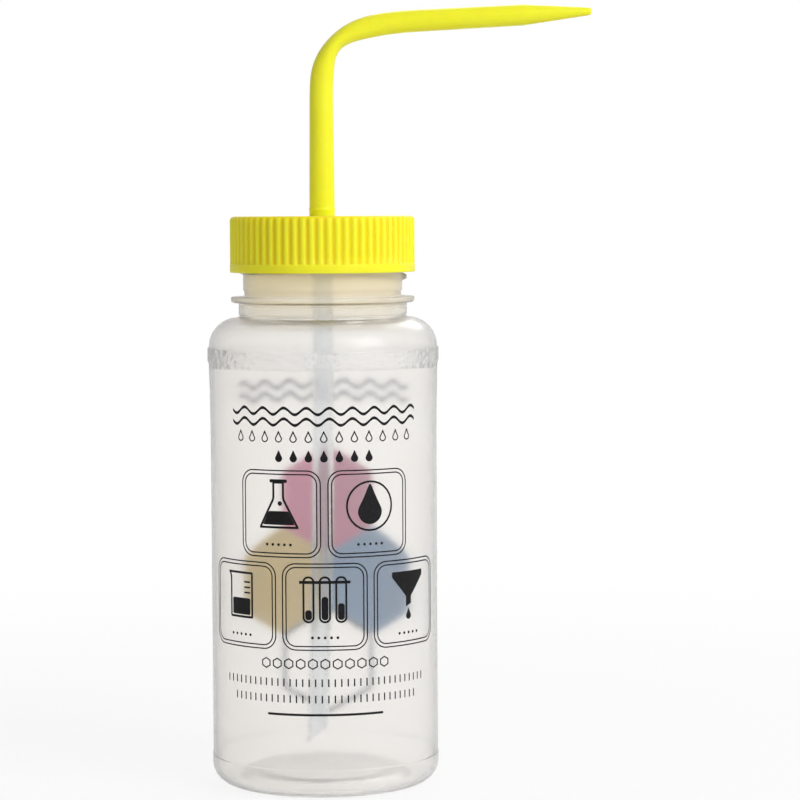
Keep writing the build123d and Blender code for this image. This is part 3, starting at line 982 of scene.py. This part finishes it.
class WASH_OT_spout(Operator):
    """Model the bent spout with its socket, flange, snap bead, flattened bend and conical tip"""
    bl_idname = "wash_bottle.spout"
    bl_label = "Spout"

    def execute(self, context):
        model = context.scene.wash_bottle
        size, tube = model.spout, model.dip_tube
        line = SpoutLine(size)
        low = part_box("spout")[0].z
        flange, bead = 7.0 * MM, CAP_TOP + 1.5 * MM
        socket = tube.radius + 0.02 * MM
        sleeve = socket + 1.15 * MM
        foot = [
            (low, socket + 0.1 * MM), (low, sleeve - 0.1 * MM), (low + 0.1 * MM, sleeve),
            (SPOUT_FLANGE_BASE, sleeve), (SPOUT_FLANGE_BASE, flange - 0.15 * MM),
            (SPOUT_FLANGE_BASE + 0.15 * MM, flange), (LIP_HEIGHT - 0.1 * MM, flange),
            (LIP_HEIGHT, flange - 0.1 * MM), (LIP_HEIGHT, size.stem_base),
            (bead - 0.05 * MM, size.stem_base),
            (bead + 0.2 * MM, size.stem_base + 0.1 * MM),
            (bead + 0.5 * MM, size.stem_base + 0.155 * MM),
            (bead + 0.8 * MM, size.stem_base + 0.1 * MM),
            (bead + 1.05 * MM, size.stem_base),
        ]
        stations = [(Vector((0, 0, height)), UP, radius, radius) for height, radius in foot]
        stations += line.run(size.stem_base, size.stem_top, size.arm_start, size.arm_end, bead + 1.3 * MM)
        reach = (line.tip - line.arm_end).length
        cone = [
            (0.4 * MM, size.arm_end - 0.01 * MM),
            (reach * 0.5, (size.arm_end + size.tip_radius) / 2),
            (reach - 1.1 * MM, size.tip_radius + 0.02 * MM),
            (reach - 0.6 * MM, size.tip_radius - 0.05 * MM),
            (reach - 0.3 * MM, size.tip_radius - 0.18 * MM),
            (reach - 0.1 * MM, size.tip_radius - 0.35 * MM),
            (reach, size.tip_radius - 0.55 * MM),
            (reach - 0.03 * MM, size.orifice + 0.05 * MM),
            (reach - 0.15 * MM, size.orifice),
            (reach - 2.5 * MM, size.orifice),
        ]
        stations += [(line.arm_end + line.along * away, line.along, radius, radius) for away, radius in cone]
        bore = line.run(size.stem_bore, size.stem_bore, size.bore, size.bore, SPOUT_FLANGE_BASE, 24)
        stations += bore[::-1]
        stations.append((Vector((0, 0, SPOUT_FLANGE_BASE)), UP, socket, socket))
        mesh = sweep(stations, 64)
        material = yellow_plastic("spout_plastic", model.colours.yellow, 0.27, drawn=True)
        finished(mesh, "bent_spout", material, "spout", "spout_plastic", "spout", sharp=50)
        return {"FINISHED"}


class WASH_OT_dip_tube(Operator):
    """Model the dip tube, bowed a little and cut aslant at its lower end"""
    bl_idname = "wash_bottle.dip_tube"
    bl_label = "Dip tube"

    def execute(self, context):
        model = context.scene.wash_bottle
        size = model.dip_tube
        drop_height = size.straight_end - (size.end_height - 2 * size.radius)
        bow = (size.lean**2 + drop_height**2) / (2 * size.lean)
        swing = asin(drop_height / bow)
        line = [(Vector((0, 0, SPOUT_FLANGE_BASE)), -UP)]
        bow_steps = 24
        for step in range(bow_steps + 1):
            angle = swing * step / bow_steps
            place = Vector((-bow * (1 - cos(angle)), 0, size.straight_end - bow * sin(angle)))
            line.append((place, Vector((-sin(angle), 0, -cos(angle)))))
        inner = size.radius - size.wall
        stations = [(place, direction, size.radius, size.radius) for place, direction in line]
        stations += [(place, direction, inner, inner) for place, direction in reversed(line)]
        mesh = sweep(stations, 48)
        bmesh.ops.bisect_plane(
            mesh, geom=mesh.verts[:] + mesh.edges[:] + mesh.faces[:], clear_inner=True,
            plane_co=(-size.lean, 0, size.end_height), plane_no=(-sin(size.cut), 0, cos(size.cut)),
        )
        bmesh.ops.bridge_loops(mesh, edges=[edge for edge in mesh.edges if edge.is_boundary])
        bmesh.ops.recalc_face_normals(mesh, faces=mesh.faces)
        material = dip_tube_plastic(model.colours.dip_tube)
        finished(mesh, "draw_tube", material, "spout", "dip_tube_plastic", "dip_tube")
        return {"FINISHED"}


# The stage

def area_lamp(name, place, target, size, power):
    """A soft square lamp that faces a target."""
    data = bpy.data.lights.new(name, "AREA")
    data.size = size
    data.energy = power
    lamp = bpy.data.objects.new(name, data)
    lamp.location = place
    lamp.rotation_euler = (Vector(target) - Vector(place)).to_track_quat("-Z", "Y").to_euler()
    bpy.context.collection.objects.link(lamp)


class WASH_OT_stage(Operator):
    """Set the pale floor, the soft lamps, the white surroundings and the camera"""
    bl_idname = "wash_bottle.stage"
    bl_label = "Stage"

    def execute(self, context):
        self.camera(context.scene)
        self.floor(context.scene.wash_bottle.colours.floor)
        self.surroundings(context.scene)
        area_lamp("key", (0.8, -0.75, 0.75), (0, 0, 0.12), 0.7, 11.0)
        area_lamp("fill", (-0.9, -0.6, 0.45), (0, 0, 0.1), 0.8, 0.5)
        area_lamp("back", (0.3, 0.9, 0.9), (0, 0, 0.1), 0.8, 4.0)
        return {"FINISHED"}

    def camera(self, scene):
        """The photograph's view: a long lens, a little above the shoulder and tipped down."""
        photo_width, focal_pixels, axis_column = 800, 2900.0, 323.3
        distance, height = 891.2 * MM, 174.8 * MM
        pitch, roll = radians(3.67), radians(-0.316)
        yaw = atan2(photo_width / 2 - axis_column, focal_pixels)
        data = bpy.data.cameras.new("camera")
        data.lens = focal_pixels / photo_width * data.sensor_width
        data.clip_start = 0.05
        camera = bpy.data.objects.new("camera", data)
        look = Vector((sin(yaw) * cos(pitch), cos(yaw) * cos(pitch), -sin(pitch)))
        aim = look.to_track_quat("-Z", "Y") @ Matrix.Rotation(roll, 3, "Z").to_quaternion()
        camera.matrix_world = Matrix.LocRotScale(Vector((0, -distance, height)), aim, None)
        bpy.context.collection.objects.link(camera)
        scene.camera = camera
        scene.view_settings.view_transform = "Standard"

    def floor(self, tint):
        """A wide floor that is white to the camera and keeps the bottle's soft shadow."""
        mesh = bmesh.new()
        bmesh.ops.create_grid(mesh, x_segments=8, y_segments=8, size=6)
        data = bpy.data.meshes.new("floor")
        mesh.to_mesh(data)
        mesh.free()
        floor_object = bpy.data.objects.new("floor", data)
        bpy.context.collection.objects.link(floor_object)
        material, wire, place = new_material("floor_paper")
        grain = place.noise(300, 2)
        paper = wire.node("ShaderNodeBsdfDiffuse", Color=grain.blend(tuple(tint), shaded(tint, 0.99)))
        glow = wire.node("ShaderNodeEmission", Strength=1.0)
        away = place.distance().step(0.1, 0.55)
        rays = self.direct_rays(wire) * (0.86 + 0.14 * away)
        mixed = wire.node("ShaderNodeMixShader", _0=rays, _1=paper, _2=glow)
        wire.node("ShaderNodeOutputMaterial", _0=mixed)
        data.materials.append(material)

    def direct_rays(self, wire):
        """1 for rays that show the background, straight or through plastic, and half for its gloss."""
        names = ("Is Camera Ray", "Is Transmission Ray", "Is Glossy Ray")
        straight, through, gloss = [wire.node("ShaderNodeLightPath", output=name) for name in names]
        return wire.maths("MINIMUM", straight + through + gloss * 0.5, 1.0)

    def surroundings(self, scene):
        """White to the camera and through the plastic, and a plain soft grey light elsewhere."""
        world = bpy.data.worlds.new("surroundings")
        world.use_nodes = True
        world.node_tree.nodes.clear()
        wire = Wire(world.node_tree)
        strength = 0.45 + 0.55 * self.direct_rays(wire)
        light = wire.node("ShaderNodeBackground", Color=(1, 1, 1, 1), Strength=strength)
        wire.node("ShaderNodeOutputWorld", _0=light)
        scene.world = world


class WASH_PT_sidebar(Panel):
    """Sizes, colours and buttons of the wash bottle"""
    bl_idname = "WASH_PT_sidebar"
    bl_label = "Wash bottle"
    bl_space_type = "VIEW_3D"
    bl_region_type = "UI"
    bl_category = "Wash bottle"

    def draw(self, context):
        for operator in OPERATORS:
            self.layout.operator(operator.bl_idname)
        for name, group in GROUPS.items():
            box = self.layout.box()
            box.label(text=name.replace("_", " ").capitalize())
            for size in group.__annotations__:
                box.prop(getattr(context.scene.wash_bottle, name), size)


OPERATORS = (
    WASH_OT_bottle,
    WASH_OT_front_print,
    WASH_OT_back_print,
    WASH_OT_cap,
    WASH_OT_disc,
    WASH_OT_spout,
    WASH_OT_dip_tube,
    WASH_OT_stage,
)


CLASSES = (*GROUPS.values(), WashBottle, *OPERATORS, WASH_PT_sidebar)


def register():
    for group in CLASSES:
        bpy.utils.register_class(group)
    bpy.types.Scene.wash_bottle = PointerProperty(type=WashBottle)


def unregister():
    del bpy.types.Scene.wash_bottle
    for group in reversed(CLASSES):
        bpy.utils.unregister_class(group)


def main():
    """Makes every piece and the stage."""
    register()
    bpy.ops.wash_bottle.bottle()
    bpy.ops.wash_bottle.front_print()
    bpy.ops.wash_bottle.back_print()
    bpy.ops.wash_bottle.cap()
    bpy.ops.wash_bottle.disc()
    bpy.ops.wash_bottle.spout()
    bpy.ops.wash_bottle.dip_tube()
    bpy.ops.wash_bottle.stage()


if __name__ == "__main__":
    main()
